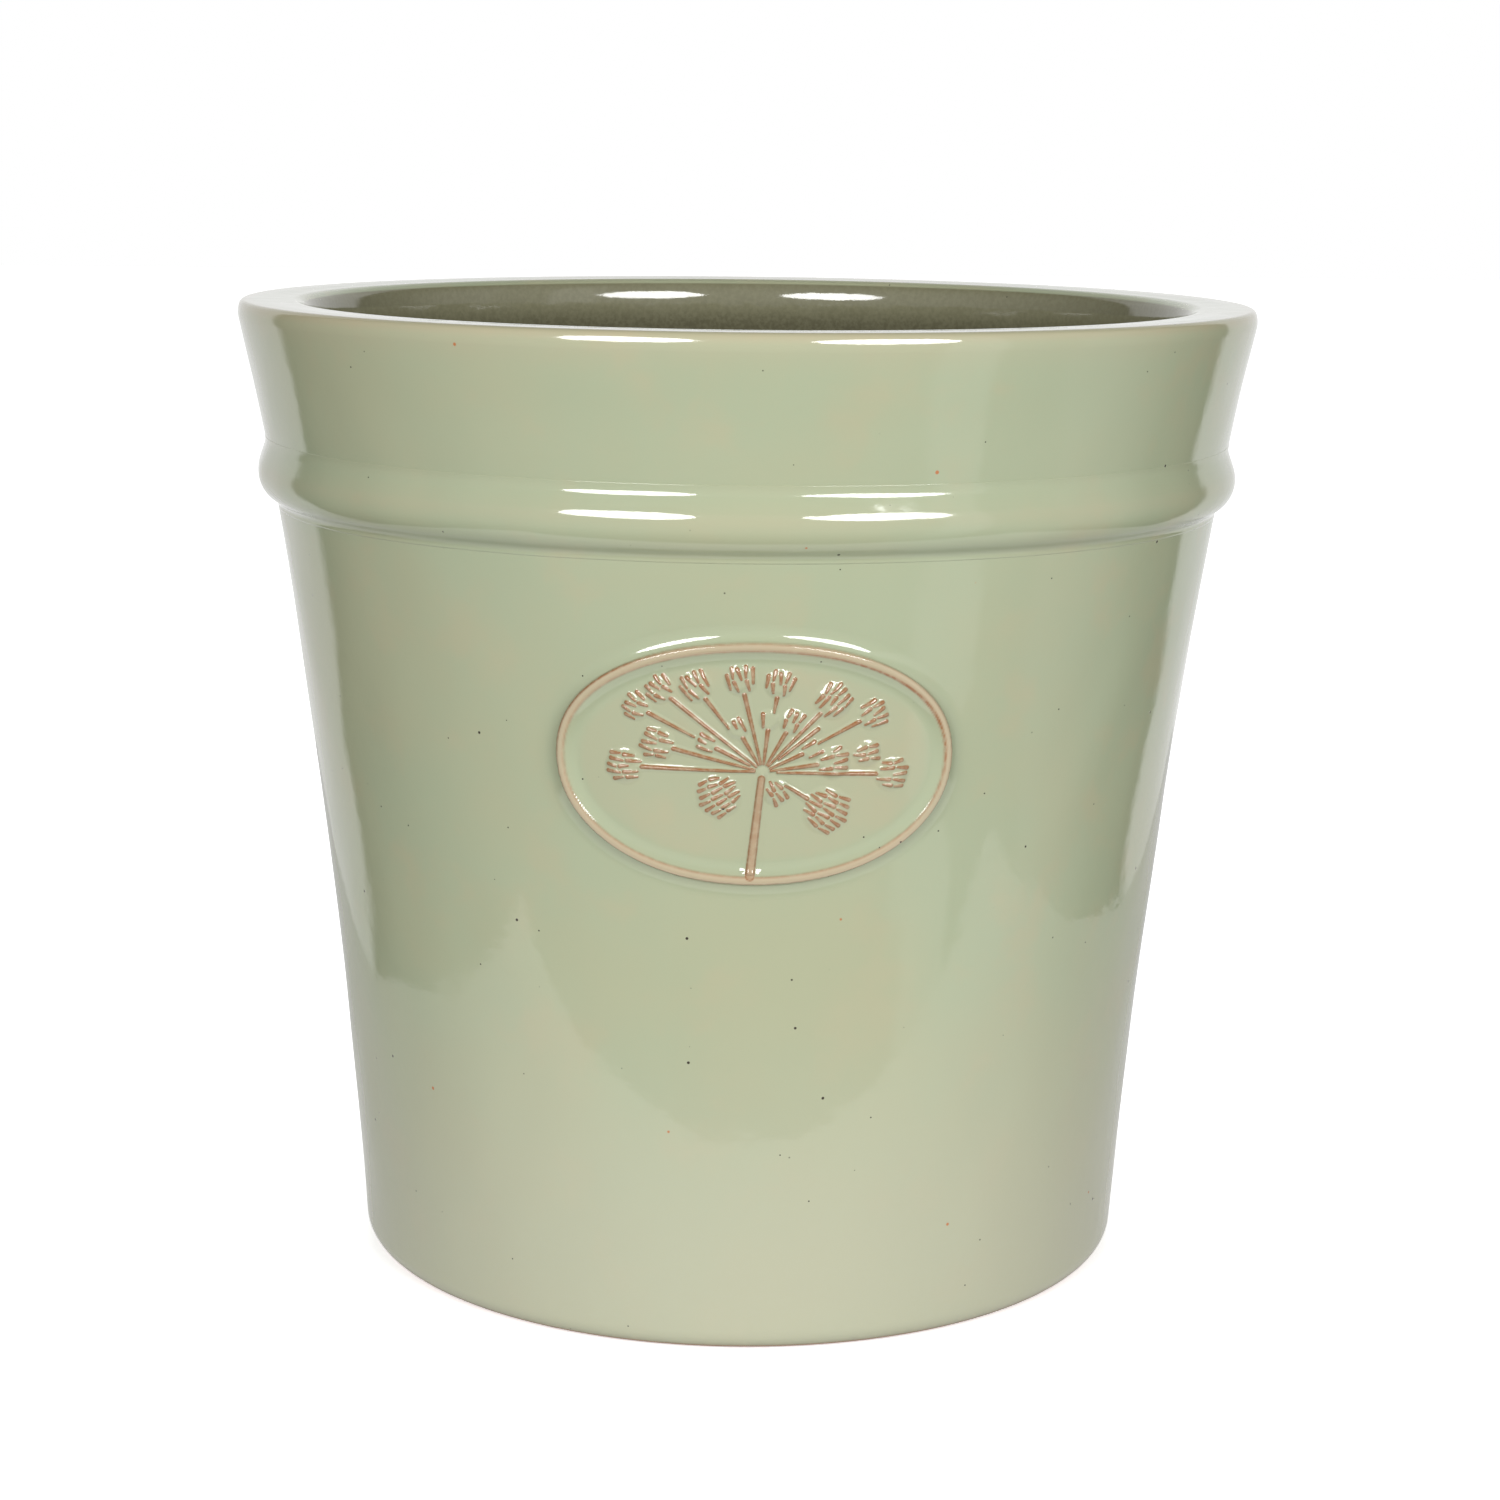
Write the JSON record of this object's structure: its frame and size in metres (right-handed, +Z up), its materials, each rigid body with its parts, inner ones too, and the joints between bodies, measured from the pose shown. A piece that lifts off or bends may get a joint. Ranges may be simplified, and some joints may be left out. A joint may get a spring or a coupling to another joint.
{
  "type": "plant pot",
  "caption": "Flaring glazed terracotta plant pot with a rounded band under its collar, an oval umbel-flower badge on the front and a drainage hole in its base.",
  "frame": {"origin": "centre of the foot, on the plane that the pot stands on", "axes": "+Z up the pot's axis, -Y out through the middle of the badge, +X to the right as seen facing the badge"},
  "size_m": [0.3798, 0.3798, 0.3615],
  "materials": {
    "sage_glaze": "glossy",
    "base_glaze": "glossy",
    "badge_glaze": "glossy",
    "buff_glaze": "glossy",
    "relief_glaze": "glossy"
  },
  "bodies": {
    "root": {"pot_wall": "sage_glaze", "pot_base": "base_glaze", "wall_band": "sage_glaze", "badge_plaque": "badge_glaze", "badge_border": "buff_glaze", "umbel_stem": "relief_glaze", "umbel_rays": "relief_glaze", "umbel_florets": "relief_glaze"}
  },
  "joints": []
}
